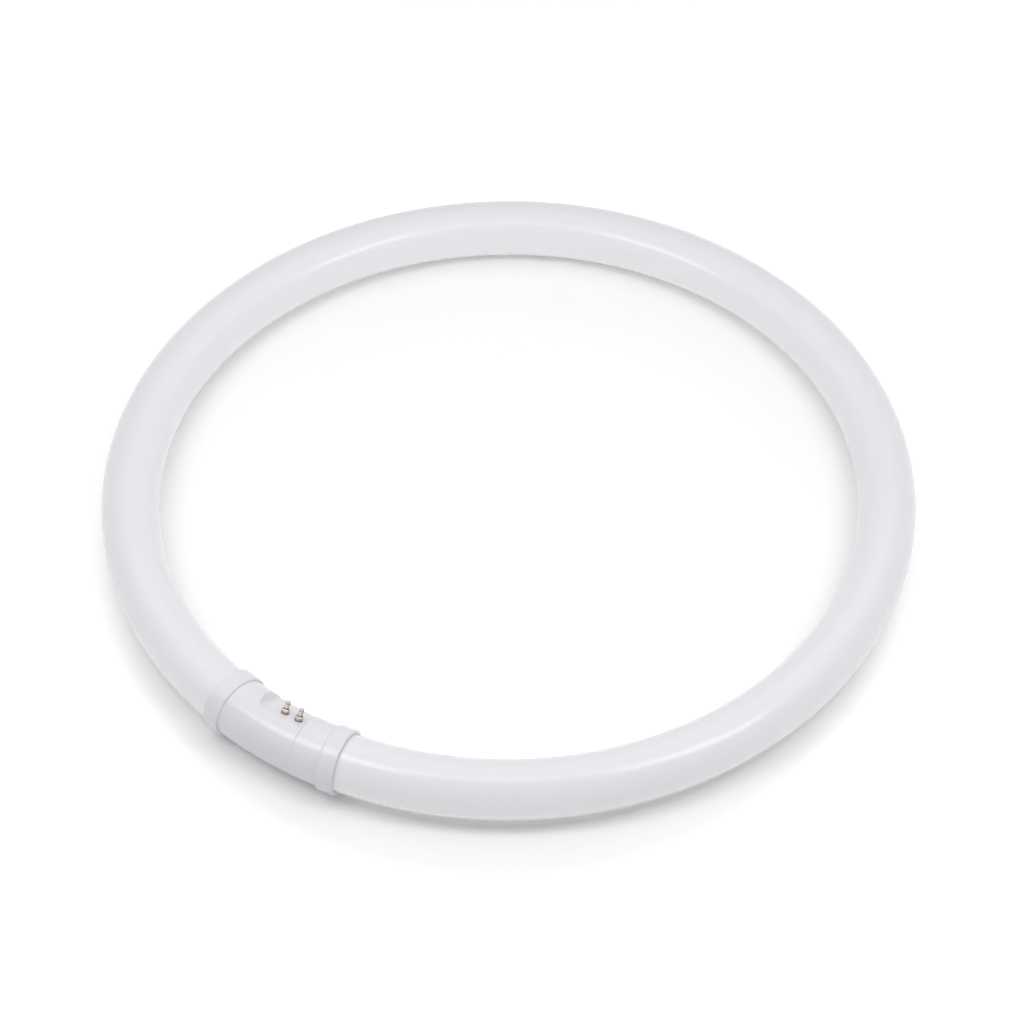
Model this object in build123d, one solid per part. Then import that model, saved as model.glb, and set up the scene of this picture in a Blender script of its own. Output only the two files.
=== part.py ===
from build123d import *
import os
from math import cos, degrees, pi, radians, sin, sqrt, tan

# A circular LED tube: an opal tube bent to a ring, closed by a two-part connector housing with two contact pins.
# Millimetres, +Z up. The origin is the ring's centre on the tube's middle plane, and the connector faces -Y.
# Places along the ring are arc lengths on the tube's centre line, from the connector's middle towards +X.

# Ring and tube
ring_outer_diameter = 406.0
tube_diameter = 28.6
tube_wall = 1.2

# Connector housing
housing_length = 70.5
collar_length = 8.9
collar_wall = 1.85
collar_edge = 0.8
socket_depth = 7.5
socket_clearance = 0.15
body_diameter = 30.0
body_wall = 1.8

# Seam between the two mouldings, with the spigot that joins them
end_body_length = 13.7
seam_chamfer = 0.15
spigot_length = 5.0
spigot_wall = 1.2
spigot_clearance = 0.15

# Recess that holds the pins: a flat that faces up and towards the ring's centre
recess_tilt = 57.0
recess_depth = 3.4
recess_length = 27.0
recess_ramp = 2.2
recess_fillet = 2.2
floor_wall = 2.0

# Contact pins, riveted through the recess floor
pin_inset = 13.15
pin_spacing = 7.92
pin_row_offset = 2.4
pin_diameter = 2.3
pin_height = 6.4
pin_tip_radius = 0.7
shoulder_diameter = 4.0
shoulder_height = 2.5
shoulder_chamfer = 0.4
pin_clearance = 0.05
boss_wall = 1.5
boss_height = 1.5
rivet_diameter = 3.8
rivet_height = 0.5
tail_diameter = 1.8
tail_length = 1.5

# LED boards on rails inside the tube
board_count = 4
board_thickness = 1.2
board_level = 6.0
board_inset = 2.0
board_gap = 1.5
board_clearance = 0.15
rail_thickness = 1.0
rail_reach = 1.5

# LED packages under the boards
leds_per_board = 24
led_length = 3.5
led_width = 2.8
led_height = 0.8

# Straps from board to board, and leads from the pins to the first and last board
link_width = 3.0
link_thickness = 0.4
link_lap = 3.0
lead_diameter = 1.4
lead_drop = 8.0
lead_lap = 3.0
lead_clearance = 0.1
bend_share = 0.45

# Cutting tools run past the faces that they open by this much
overrun = 1.0

ring_radius = (ring_outer_diameter - tube_diameter) / 2
tube_radius = tube_diameter / 2
tube_bore = tube_radius - tube_wall
socket_radius = tube_radius + socket_clearance
collar_radius = socket_radius + collar_wall
body_radius = body_diameter / 2
cavity_radius = body_radius - body_wall
spigot_radius = cavity_radius - spigot_clearance
passage_radius = spigot_radius - spigot_wall
housing_end = housing_length / 2
collar_start = housing_end - collar_length
collar_middle = housing_end - collar_length / 2
tube_end = housing_end - socket_depth
seam_place = collar_start - end_body_length
recess_start = seam_place - recess_length
floor_level = body_radius - recess_depth
floor_back = floor_level - floor_wall
first_pin = recess_start + pin_inset
pin_places = (first_pin, first_pin + pin_spacing)
circumference = 2 * pi * ring_radius
front = -90.0

recess_plane = Plane(
    origin=(0, -ring_radius, 0),
    x_dir=(1, 0, 0),
    z_dir=(0, cos(radians(recess_tilt)), sin(radians(recess_tilt))),
)


def ring_angle(place):
    """The angle in degrees that an arc length on the centre line spans."""
    return degrees(place / ring_radius)


def along_ring(section, start, end):
    """A section of the tube, drawn about its centre line, carried round the ring from start to end."""
    placed = Plane.XZ * Pos(ring_radius, 0) * section
    arc = revolve(placed, Axis.Z, revolution_arc=ring_angle(end - start))
    return Rot(0, 0, front + ring_angle(start)) * arc


def ring_point(place, level):
    """A point over or under the tube's centre line."""
    angle = radians(front + ring_angle(place))
    return Vector(ring_radius * cos(angle), ring_radius * sin(angle), level)


def wire(start, corner, end):
    """A lead that turns once, with its bend as wide as the shorter of its two runs allows."""
    half_turn = radians((corner - start).get_angle(end - corner) / 2)
    shorter = min((corner - start).length, (end - corner).length)
    path = FilletPolyline(start, corner, end, radius=bend_share * shorter / tan(half_turn))
    section = Plane(origin=path @ 0, z_dir=path % 0) * Circle(lead_diameter / 2)
    return sweep(section, path=path)


# Diffuser tube: its bore has two rails that carry the edges of the boards
board_top = board_level + board_thickness
board_half_width = sqrt((tube_bore - board_clearance) ** 2 - board_top**2)
rail_inner = board_half_width - rail_reach
rail_middle = board_level - board_clearance - rail_thickness / 2
rail_length = tube_radius - rail_inner


def tube_section():
    bore = Circle(tube_bore)
    for side in (-1, 1):
        rail_place = Pos(side * (rail_inner + rail_length / 2), rail_middle)
        bore -= rail_place * Rectangle(rail_length, rail_thickness)
    return Circle(tube_radius) - bore


def diffuser_tube():
    return along_ring(tube_section(), tube_end, circumference - tube_end)


# Connector housing
def collar(middle):
    """The thick straight band at the end of a housing, rounded on its two rims."""
    band = Cylinder(collar_radius, collar_length)
    band = fillet(band.edges().filter_by(GeomType.CIRCLE), collar_edge)
    along = Rot(0, 0, front + ring_angle(middle)) * Pos(ring_radius, 0, 0) * Rot(90, 0, 0)
    return along * band


def body(start, end, seam_side):
    """The slimmer barrel of a housing, with a small chamfer where it meets the other one."""
    barrel = along_ring(Circle(body_radius), start, end)
    seam_rim = barrel.faces().filter_by(GeomType.PLANE).sort_by(Axis.X)[seam_side].edges()
    return chamfer(seam_rim, seam_chamfer)


def recess_cutter(grow=0.0, room=0.0):
    """The space of the recess, with a ramp at its start. It grows by a wall, and a fit adds room at its floor."""
    floor = floor_level - grow - room
    top = body_radius + overrun
    ramp_slope = recess_ramp / recess_depth
    foot = recess_start + recess_ramp - grow
    head = foot - (top - floor) * ramp_slope
    far = seam_place + overrun
    with BuildSketch(Plane.XZ) as profile:
        with BuildLine():
            Polyline((foot, floor), (far, floor), (far, top), (head, top), close=True)
        make_face()
        foot_corner = profile.vertices().group_by(Axis.Y)[0].sort_by(Axis.X)[0]
        fillet(foot_corner, recess_fillet)
    return recess_plane * extrude(profile.sketch, amount=body_radius, both=True)


def pin_axis(place):
    """The recess plane moved to a pin: its Z is the pin's axis."""
    return recess_plane * Pos(place, -pin_row_offset)


def pin_housing():
    shell = collar(-collar_middle) + body(-collar_middle, seam_place, seam_side=-1)
    shell -= recess_cutter()
    cavity = along_ring(Circle(cavity_radius), -collar_start, seam_place + overrun)
    shell -= cavity - recess_cutter(grow=floor_wall)
    shell -= along_ring(Circle(socket_radius), -housing_end - overrun, -tube_end)
    shell -= along_ring(Circle(passage_radius), -tube_end - overrun, -collar_start + overrun)
    for place in pin_places:
        boss = Cylinder(pin_diameter / 2 + boss_wall, boss_height, align=(Align.CENTER, Align.CENTER, Align.MAX))
        hole = Cylinder(pin_diameter / 2 + pin_clearance, 2 * body_radius)
        shell += pin_axis(place) * Pos(0, 0, floor_back) * boss
        shell -= pin_axis(place) * Pos(0, 0, body_radius) * hole
    return shell


def end_housing():
    spigot = along_ring(Circle(spigot_radius), seam_place - spigot_length, seam_place)
    spigot -= recess_cutter(grow=floor_wall, room=spigot_clearance)
    shell = collar(collar_middle) + body(seam_place, collar_middle, seam_side=0) + spigot
    shell -= along_ring(Circle(socket_radius), tube_end, housing_end + overrun)
    shell -= along_ring(Circle(passage_radius), seam_place - spigot_length - overrun, tube_end + overrun)
    return shell


# Contact pins: a shoulder stands on the recess floor and a rivet head holds the pin from behind
boss_back = floor_back - boss_height
tail_end = boss_back - rivet_height - tail_length


def contact_pin(place):
    tip = floor_level + pin_height
    shoulder_top = floor_level + shoulder_height
    with BuildSketch(Plane.XZ) as profile:
        with BuildLine():
            Polyline(
                (0, tail_end),
                (tail_diameter / 2, tail_end),
                (tail_diameter / 2, boss_back - rivet_height),
                (rivet_diameter / 2, boss_back - rivet_height),
                (rivet_diameter / 2, boss_back),
                (pin_diameter / 2, boss_back),
                (pin_diameter / 2, floor_level),
                (shoulder_diameter / 2, floor_level),
                (shoulder_diameter / 2, shoulder_top - shoulder_chamfer),
                (shoulder_diameter / 2 - shoulder_chamfer, shoulder_top),
                (pin_diameter / 2, shoulder_top),
                (pin_diameter / 2, tip),
                (0, tip),
                close=True,
            )
        make_face()
        tip_corner = profile.vertices().group_by(Axis.Y)[-1].sort_by(Axis.X)[-1]
        fillet(tip_corner, pin_tip_radius)
    return pin_axis(place) * revolve(profile.sketch, Axis.Z)


# LED boards, numbered from the +X end of the tube round to the -X end
first_board_start = tube_end + board_inset
board_run = circumference - 2 * first_board_start
board_length = (board_run - (board_count - 1) * board_gap) / board_count
board_starts = [first_board_start + i * (board_length + board_gap) for i in range(board_count)]
led_pitch = board_length / leds_per_board


def led_board(start):
    section = Pos(0, board_level + board_thickness / 2) * Rectangle(2 * board_half_width, board_thickness)
    return along_ring(section, start, start + board_length)


def led_chips(start):
    chip = Box(led_width, led_length, led_height, align=(Align.CENTER, Align.CENTER, Align.MAX))
    chips = []
    for i in range(leds_per_board):
        turn = front + ring_angle(start + (i + 0.5) * led_pitch)
        chips.append(Rot(0, 0, turn) * Pos(ring_radius, 0, board_level) * chip)
    return Compound(chips)


def board_link(start):
    """A strap soldered under two boards, across the gap before the board that begins at start."""
    section = Pos(0, board_level - link_thickness / 2) * Rectangle(link_width, link_thickness)
    return along_ring(section, start - board_gap - link_lap, start + link_lap)


def lead(place, pad):
    """An insulated lead from a pin's tail to the pad on a board's end."""
    tail = pin_axis(place) * Pos(0, 0, tail_end)
    bend = tail * Pos(0, 0, -lead_drop)
    solder = ring_point(pad, board_level - lead_diameter / 2 - lead_clearance)
    return wire(tail.position, bend.position, solder)


parts = {
    "diffuser_tube": diffuser_tube(),
    "pin_housing": pin_housing(),
    "end_housing": end_housing(),
}
for i, place in enumerate(pin_places):
    parts[f"contact_pin_{i + 1}"] = contact_pin(place)
for i, start in enumerate(board_starts):
    parts[f"led_board_{i + 1}"] = led_board(start)
    parts[f"led_chips_{i + 1}"] = led_chips(start)
for i, start in enumerate(board_starts[1:]):
    parts[f"board_link_{i + 1}"] = board_link(start)
lead_pads = (-first_board_start - lead_lap, first_board_start + lead_lap)
for i, (place, pad) in enumerate(zip(pin_places, lead_pads)):
    parts[f"lead_{i + 1}"] = lead(place, pad)

os.makedirs("parts", exist_ok=True)
for name, part in parts.items():
    part.label = name
    export_step(part, f"parts/{name}.step")
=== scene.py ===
import math

import bpy
from mathutils import Matrix, Vector

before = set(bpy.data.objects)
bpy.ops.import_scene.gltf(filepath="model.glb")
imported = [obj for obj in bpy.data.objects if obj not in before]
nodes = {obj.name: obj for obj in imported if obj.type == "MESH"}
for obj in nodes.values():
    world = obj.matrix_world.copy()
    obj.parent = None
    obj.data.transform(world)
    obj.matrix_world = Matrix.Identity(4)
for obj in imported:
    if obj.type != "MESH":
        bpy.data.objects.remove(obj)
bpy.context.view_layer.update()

scene = bpy.context.scene

# Camera: angles in degrees, lengths in metres.
# It looks a little off the ring's centre, and the image turns slightly
VIEW_AZIMUTH = 34.6249
VIEW_ELEVATION = 48.1615
VIEW_DISTANCE = 1.8981
VIEW_TURN = 0.2714
AIM_RIGHT = 0.0017
AIM_UP = -0.01089
LENS_MM = 133.464
SENSOR_MM = 36.0

# Floor: it touches the collars under the connector and the tube on the far side.
# Each foot has its place along Y and its height
COLLAR_FOOT = (-0.186, -0.0163)
TUBE_FOOT = (0.1887, -0.0143)
FLOOR_HALF = 4.0
FLOOR_COLOUR = (0.92, 0.92, 0.92, 1.0)

# The floor's own white, as the camera sees it, with painted light: least in a band round the ring, where the
# shadows fall, so the edges of those shadows are partly painted.
# The band is an oval, narrower from side to side, with its middle a little nearer than the ring's centre and
# to its left. Each lift has the distances from there at which it starts and is full, and its level.
# They are the ring's middle and close outside, which are painted light at the edges of the ring's shadows, and
# far out, which whitens the backdrop
BAND_CENTRE = (-0.003, -0.022)
BAND_WIDTH = 0.935
BAND_WHITE = 0.043
LIFTS = (
    (0.19, 0.14, 0.07),
    (0.198, 0.22, 0.162),
    (0.30, 1.00, 0.45),
)

# Painted light on the floor at the tube's foot, in place of light that comes through the opal tube: how far
# from the tube's centre line it starts and is full, and its level. It keeps clear of the connector, which is
# opaque
TUBE_LINE = 0.1887
PAINTED_FOOT_LIGHT = (0.0100, 0.004, 0.17)
CONNECTOR_PLACE = (0.0, -0.1887, -0.0163)
CONNECTOR_FADE = (0.03, 0.05, 1.0)

# Light: a sky that is a little brighter to the right, and soft boxes overhead in two rows.
# Each box has its place to the right and away from the camera, its width and depth, and its power
SKY_LEVEL = 0.43
SKY_TILT = 0.057
SKY_SIDE = (1.0, 0.0)
BOX_HEIGHT = 0.80
BOXES = (
    ("front_left", -0.52, -0.28, 0.55, 0.26, 1.95),
    ("front_middle", 0.00, -0.20, 0.50, 0.14, 0.58),
    ("front_right", 0.50, -0.29, 0.50, 0.26, 1.91),
    ("back", 0.00, 0.25, 1.80, 0.80, 2.95),
)
WHITE = (1.0, 1.0, 1.0, 1.0)

# Opal tube: painted shade makes it greyer from the clear level up to its top, where the boards lie behind it,
# and painted light keeps it palest below.
# Its waves have a depth and a strength
CLEAR_LEVEL = -0.004
TUBE_TOP = 0.0143
OPAL_LOW_PAINTED_LIGHT = (0.982, 0.978, 0.998, 1.0)
OPAL_TOP_PAINTED_SHADE = (0.79, 0.782, 0.823, 1.0)
OPAL_CLOUD_SCALE = 9.0
OPAL_CLOUD_SHARE = 0.08
OPAL_ROUGHNESS = (0.19, 0.23)
OPAL_ROUGHNESS_SCALE = 40.0
OPAL_WAVE = (0.0002, 0.05)
OPAL_WAVE_SCALE = 60.0
OPAL_WAVE_DETAIL = 1.0

# Mouldings of the connector. Their grain has a depth and a strength
MOULDED_LOW = (0.75, 0.742, 0.783, 1.0)
MOULDED_HIGH = (0.765, 0.757, 0.798, 1.0)
MOULDED_CLOUD_SCALE = 30.0
MOULDED_ROUGHNESS = (0.19, 0.24)
MOULDED_ROUGHNESS_SCALE = 120.0
MOULDED_GRAIN = (0.0001, 0.03)
MOULDED_GRAIN_SCALE = 900.0

# Seam between the two mouldings: its angle round the ring from the connector's middle, how far to each side
# the dark line starts and is full, how dark it is, and the heights between which it comes in
SEAM_ANGLE = 3.841
SEAM_LINE = (0.0006, 0.0002, 0.10)
SEAM_HEIGHTS = (0.0095, 0.0138, 1.0)
BLACK = (0.0, 0.0, 0.0, 1.0)

# Contact pins: the lean of their axis from upright, the heights of foot and tip along it, and the colours
# from foot to tip, with painted shade at the step and a painted highlight on the shaft. Painted reflection
# streaks run along the pins
PIN_LEAN = 33.0
PIN_FOOT = -0.0912
PIN_TIP = -0.0848
PIN_COLOURS = (
    (0.06, (0.15, 0.13, 0.11, 1.0)),
    (0.20, (0.42, 0.37, 0.31, 1.0)),
    (0.36, (0.74, 0.68, 0.59, 1.0)),
    (0.48, (0.24, 0.205, 0.17, 1.0)),
    (0.60, (0.80, 0.74, 0.66, 1.0)),
    (0.78, (0.68, 0.635, 0.57, 1.0)),
    (0.88, (0.44, 0.43, 0.42, 1.0)),
    (1.00, (0.50, 0.49, 0.48, 1.0)),
)
STREAK_SQUEEZE = 0.3
STREAK_SCALE = 700.0
STREAK_SHARE = 0.12
PIN_ROUGHNESS = (0.22, 0.38)
PIN_ROUGHNESS_SCALE = 1500.0

# Pieces inside the tube: the start of their names, the material, its two near colours, its roughness
# and whether it is metal
INSIDE = (
    ("led_board", "board", (0.89, 0.90, 0.90, 1.0), (0.92, 0.92, 0.92, 1.0), (0.35, 0.5), 0.0),
    ("led_chips", "phosphor", (0.85, 0.70, 0.20, 1.0), (0.90, 0.77, 0.30, 1.0), (0.5, 0.6), 0.0),
    ("board_link", "tinned", (0.60, 0.58, 0.54, 1.0), (0.72, 0.70, 0.66, 1.0), (0.3, 0.45), 1.0),
    ("lead", "insulation", (0.74, 0.74, 0.72, 1.0), (0.80, 0.80, 0.78, 1.0), (0.4, 0.5), 0.0),
)
INSIDE_CLOUD_SCALE = 200.0
INSIDE_ROUGHNESS_SCALE = 500.0
NOISE_DETAIL = 3.0


def turned(right, away, up):
    """A point given as the camera sees it: to the right, away from the camera, and up."""
    angle = math.radians(VIEW_AZIMUTH)
    x = right * math.cos(angle) - away * math.sin(angle)
    y = right * math.sin(angle) + away * math.cos(angle)
    return Vector((x, y, up))


def link(tree, source, target):
    tree.links.new(source, target)


def calculate(tree, operation, *values):
    """A sum, product or the like of values, any of which may be a number."""
    node = tree.nodes.new("ShaderNodeMath")
    node.operation = operation
    for socket, value in zip(node.inputs, values):
        if isinstance(value, float):
            socket.default_value = value
        else:
            link(tree, value, socket)
    return node.outputs[0]


def measure(tree, operation, place, other=None):
    """A number from a place: its length, or its distance to another or product with it."""
    node = tree.nodes.new("ShaderNodeVectorMath")
    node.operation = operation
    if other is not None:
        node.inputs[1].default_value = other
    link(tree, place, node.inputs[0])
    return node.outputs["Value"]


def remap(tree, value, source, target, smooth=False):
    """A value taken from one range to another."""
    node = tree.nodes.new("ShaderNodeMapRange")
    if smooth:
        node.interpolation_type = "SMOOTHSTEP"
    node.inputs["From Min"].default_value = source[0]
    node.inputs["From Max"].default_value = source[1]
    node.inputs["To Min"].default_value = target[0]
    node.inputs["To Max"].default_value = target[1]
    link(tree, value, node.inputs["Value"])
    return node.outputs["Result"]


def lift(tree, value, start, full, level):
    """A level that comes in smoothly while a value goes from start to full."""
    return remap(tree, value, (start, full), (0.0, level), smooth=True)


def height_of(tree, place):
    axes = tree.nodes.new("ShaderNodeSeparateXYZ")
    link(tree, place, axes.inputs[0])
    return axes.outputs["Z"]


def seen_rays(tree):
    """A value that is 1 for camera, glossy and transmission rays, and 0 for rays that light other surfaces."""
    path = tree.nodes.new("ShaderNodeLightPath").outputs
    first = calculate(tree, "MAXIMUM", path["Is Camera Ray"], path["Is Glossy Ray"])
    return calculate(tree, "MAXIMUM", first, path["Is Transmission Ray"])


def make_camera():
    azimuth = math.radians(VIEW_AZIMUTH)
    elevation = math.radians(VIEW_ELEVATION)
    turn = math.radians(VIEW_TURN)
    back = Vector((
        math.sin(azimuth) * math.cos(elevation),
        -math.cos(azimuth) * math.cos(elevation),
        math.sin(elevation),
    ))
    right = Vector((math.cos(azimuth), math.sin(azimuth), 0))
    up = back.cross(right)
    across = right * math.cos(turn) - up * math.sin(turn)
    upward = right * math.sin(turn) + up * math.cos(turn)
    data = bpy.data.cameras.new("camera")
    data.lens = LENS_MM
    data.sensor_width = SENSOR_MM
    camera = bpy.data.objects.new("camera", data)
    scene.collection.objects.link(camera)
    axes = Matrix((across, upward, back)).transposed()
    place = back * VIEW_DISTANCE + right * AIM_RIGHT + up * AIM_UP
    camera.matrix_world = Matrix.Translation(place) @ axes.to_4x4()
    scene.camera = camera


def painted_foot_light(tree, place):
    """Painted light on the floor on both sides of the tube's foot, clear of the connector."""
    radius = measure(tree, "DISTANCE", place, (0, 0, COLLAR_FOOT[1]))
    aside = calculate(tree, "ABSOLUTE", calculate(tree, "SUBTRACT", radius, TUBE_LINE))
    clear = lift(tree, measure(tree, "DISTANCE", place, CONNECTOR_PLACE), *CONNECTOR_FADE)
    return calculate(tree, "MULTIPLY", lift(tree, aside, *PAINTED_FOOT_LIGHT), clear)


def floor_white_and_painted_light(tree):
    """The floor's own white at each place, with painted light: the painted light at the tube's foot, the band
    and its lifts.
    """
    place = tree.nodes.new("ShaderNodeTexCoord").outputs["Object"]
    band = tree.nodes.new("ShaderNodeMapping")
    band.vector_type = "TEXTURE"
    band.inputs["Location"].default_value = turned(*BAND_CENTRE, COLLAR_FOOT[1])
    band.inputs["Rotation"].default_value = (0, 0, math.radians(VIEW_AZIMUTH))
    band.inputs["Scale"].default_value = (BAND_WIDTH, 1, 1)
    link(tree, place, band.inputs["Vector"])
    reach = measure(tree, "LENGTH", band.outputs["Vector"])
    white = calculate(tree, "ADD", painted_foot_light(tree, place), BAND_WHITE)
    for step in LIFTS:
        white = calculate(tree, "ADD", white, lift(tree, reach, *step))
    return white


def floor_material():
    material = bpy.data.materials.new("floor")
    material.use_nodes = True
    tree = material.node_tree
    tree.nodes.clear()
    diffuse = tree.nodes.new("ShaderNodeBsdfDiffuse")
    diffuse.inputs["Color"].default_value = FLOOR_COLOUR
    seen_white = calculate(tree, "MULTIPLY", floor_white_and_painted_light(tree), seen_rays(tree))
    glow = tree.nodes.new("ShaderNodeEmission")
    link(tree, seen_white, glow.inputs["Strength"])
    both = tree.nodes.new("ShaderNodeAddShader")
    link(tree, diffuse.outputs[0], both.inputs[0])
    link(tree, glow.outputs[0], both.inputs[1])
    output = tree.nodes.new("ShaderNodeOutputMaterial")
    link(tree, both.outputs[0], output.inputs["Surface"])
    return material


def make_floor():
    slope = (TUBE_FOOT[1] - COLLAR_FOOT[1]) / (TUBE_FOOT[0] - COLLAR_FOOT[0])
    corners = []
    for x, y in ((-1, -1), (1, -1), (1, 1), (-1, 1)):
        height = COLLAR_FOOT[1] + slope * (y * FLOOR_HALF - COLLAR_FOOT[0])
        corners.append((x * FLOOR_HALF, y * FLOOR_HALF, height))
    mesh = bpy.data.meshes.new("floor")
    mesh.from_pydata(corners, [], [(0, 1, 2, 3)])
    floor = bpy.data.objects.new("floor", mesh)
    scene.collection.objects.link(floor)
    mesh.materials.append(floor_material())


def make_sky():
    world = bpy.data.worlds.new("sky")
    scene.world = world
    world.use_nodes = True
    tree = world.node_tree
    tree.nodes.clear()
    direction = tree.nodes.new("ShaderNodeTexCoord").outputs["Generated"]
    side = measure(tree, "DOT_PRODUCT", direction, turned(*SKY_SIDE, 0))
    shade = remap(tree, side, (-1.0, 1.0), (SKY_LEVEL - SKY_TILT, SKY_LEVEL + SKY_TILT))
    light = tree.nodes.new("ShaderNodeBackground")
    light.inputs["Color"].default_value = WHITE
    link(tree, shade, light.inputs["Strength"])
    backdrop = tree.nodes.new("ShaderNodeBackground")
    backdrop.inputs["Color"].default_value = WHITE
    choice = tree.nodes.new("ShaderNodeMixShader")
    link(tree, seen_rays(tree), choice.inputs["Fac"])
    link(tree, light.outputs[0], choice.inputs[1])
    link(tree, backdrop.outputs[0], choice.inputs[2])
    output = tree.nodes.new("ShaderNodeOutputWorld")
    link(tree, choice.outputs[0], output.inputs["Surface"])


def make_lamps():
    """The soft boxes, which face straight down."""
    for name, right, away, width, depth, power in BOXES:
        data = bpy.data.lights.new(name, "AREA")
        data.shape = "RECTANGLE"
        data.size = width
        data.size_y = depth
        data.energy = power
        lamp = bpy.data.objects.new(name, data)
        scene.collection.objects.link(lamp)
        lamp.location = turned(right, away, BOX_HEIGHT)
        lamp.rotation_euler = (0, 0, math.radians(VIEW_AZIMUTH))


def principled(name):
    """A new material with its shader, and texture coordinates in metres of the part's own frame."""
    material = bpy.data.materials.new(name)
    material.use_nodes = True
    tree = material.node_tree
    shader = tree.nodes["Principled BSDF"]
    place = tree.nodes.new("ShaderNodeTexCoord").outputs["Object"]
    return material, tree, shader, place


def noise(tree, place, scale, detail=NOISE_DETAIL):
    texture = tree.nodes.new("ShaderNodeTexNoise")
    texture.inputs["Scale"].default_value = scale
    texture.inputs["Detail"].default_value = detail
    link(tree, place, texture.inputs["Vector"])
    return texture.outputs["Fac"]


def blend(tree, value, stops):
    """Colours at places from 0 to 1, blended by a value."""
    ramp = tree.nodes.new("ShaderNodeValToRGB")
    points = ramp.color_ramp.elements
    while len(points) < len(stops):
        points.new(1.0)
    for point, (place, colour) in zip(points, stops):
        point.position = place
        point.color = colour
    link(tree, value, ramp.inputs["Fac"])
    return ramp.outputs["Color"]


def tint(tree, value, low, high):
    """Two near colours, blended by a value."""
    return blend(tree, value, ((0.0, low), (1.0, high)))


def height_share(tree, place, low, high):
    """The height of a place, as a share of the way from one level to another."""
    return remap(tree, height_of(tree, place), (low, high), (0.0, 1.0))


def roughen(tree, shader, place, scale, limits):
    """Gives a shader a roughness that changes a little from place to place."""
    roughness = remap(tree, noise(tree, place, scale), (0.0, 1.0), limits)
    link(tree, roughness, shader.inputs["Roughness"])


def bump(tree, shader, height, depth, strength):
    node = tree.nodes.new("ShaderNodeBump")
    node.inputs["Strength"].default_value = strength
    node.inputs["Distance"].default_value = depth
    link(tree, height, node.inputs["Height"])
    link(tree, node.outputs["Normal"], shader.inputs["Normal"])


def opal():
    """The tube's milky plastic, with painted light and shade: palest low down, as if light from inside came
    through, and greyer up to the top.
    """
    material, tree, shader, place = principled("opal")
    # Painted shade that grows with height, so the top is greyer, with a little random cloud mixed in
    height = height_share(tree, place, CLEAR_LEVEL, TUBE_TOP)
    cloud = noise(tree, place, OPAL_CLOUD_SCALE)
    cloud_and_painted_shade = calculate(tree, "MULTIPLY_ADD", cloud, OPAL_CLOUD_SHARE, height)
    link(tree, tint(tree, cloud_and_painted_shade, OPAL_LOW_PAINTED_LIGHT, OPAL_TOP_PAINTED_SHADE), shader.inputs["Base Color"])
    roughen(tree, shader, place, OPAL_ROUGHNESS_SCALE, OPAL_ROUGHNESS)
    bump(tree, shader, noise(tree, place, OPAL_WAVE_SCALE, OPAL_WAVE_DETAIL), *OPAL_WAVE)
    return material


def seam(tree, place):
    """The share of dark in the line where the two mouldings meet, which is clearest on top."""
    angle = math.radians(SEAM_ANGLE)
    across = measure(tree, "DOT_PRODUCT", place, (math.cos(angle), math.sin(angle), 0))
    line = lift(tree, calculate(tree, "ABSOLUTE", across), *SEAM_LINE)
    return calculate(tree, "MULTIPLY", line, lift(tree, height_of(tree, place), *SEAM_HEIGHTS))


def darkened(tree, colour, share):
    """A colour with a share of black in it."""
    mix = tree.nodes.new("ShaderNodeMix")
    mix.data_type = "RGBA"
    first, second = [socket for socket in mix.inputs if socket.type == "RGBA"]
    second.default_value = BLACK
    link(tree, colour, first)
    link(tree, share, mix.inputs["Factor"])
    return [socket for socket in mix.outputs if socket.type == "RGBA"][0]


def moulded():
    material, tree, shader, place = principled("moulded")
    cloud = noise(tree, place, MOULDED_CLOUD_SCALE)
    white = tint(tree, cloud, MOULDED_LOW, MOULDED_HIGH)
    link(tree, darkened(tree, white, seam(tree, place)), shader.inputs["Base Color"])
    roughen(tree, shader, place, MOULDED_ROUGHNESS_SCALE, MOULDED_ROUGHNESS)
    bump(tree, shader, noise(tree, place, MOULDED_GRAIN_SCALE), *MOULDED_GRAIN)
    return material


def brass():
    """Turned pins: dark at the foot, with painted shade at the step, a painted highlight on the shaft and
    painted reflection streaks, and tinned at the tip.
    """
    material, tree, shader, place = principled("brass")
    upright = tree.nodes.new("ShaderNodeMapping")
    upright.inputs["Rotation"].default_value[0] = math.radians(PIN_LEAN)
    link(tree, place, upright.inputs["Vector"])
    along = tree.nodes.new("ShaderNodeMapping")
    along.inputs["Scale"].default_value[2] = STREAK_SQUEEZE
    link(tree, upright.outputs["Vector"], along.inputs["Vector"])
    height = height_share(tree, upright.outputs["Vector"], PIN_FOOT, PIN_TIP)
    # Painted reflection: streaks along the pins, which shift the colours a little
    painted_reflection_streaks = noise(tree, along.outputs["Vector"], STREAK_SCALE)
    height_and_painted_streaks = calculate(tree, "MULTIPLY_ADD", painted_reflection_streaks, STREAK_SHARE, height)
    link(tree, blend(tree, height_and_painted_streaks, PIN_COLOURS), shader.inputs["Base Color"])
    shader.inputs["Metallic"].default_value = 1.0
    roughen(tree, shader, place, PIN_ROUGHNESS_SCALE, PIN_ROUGHNESS)
    return material


def plain(name, low, high, roughness, metallic):
    """A simple surface with faint changes of colour and gloss, for the pieces inside the tube."""
    material, tree, shader, place = principled(name)
    cloud = noise(tree, place, INSIDE_CLOUD_SCALE)
    link(tree, tint(tree, cloud, low, high), shader.inputs["Base Color"])
    shader.inputs["Metallic"].default_value = metallic
    roughen(tree, shader, place, INSIDE_ROUGHNESS_SCALE, roughness)
    return material


def paint(prefix, material):
    """Gives a material to every node whose name starts with a prefix."""
    for name, node in nodes.items():
        if name.startswith(prefix):
            node.data.materials.clear()
            node.data.materials.append(material)


make_camera()
make_floor()
make_sky()
make_lamps()
paint("diffuser_tube", opal())
white_plastic = moulded()
paint("pin_housing", white_plastic)
paint("end_housing", white_plastic)
paint("contact_pin", brass())
for prefix, *surface in INSIDE:
    paint(prefix, plain(*surface))

scene.view_settings.view_transform = "Standard"
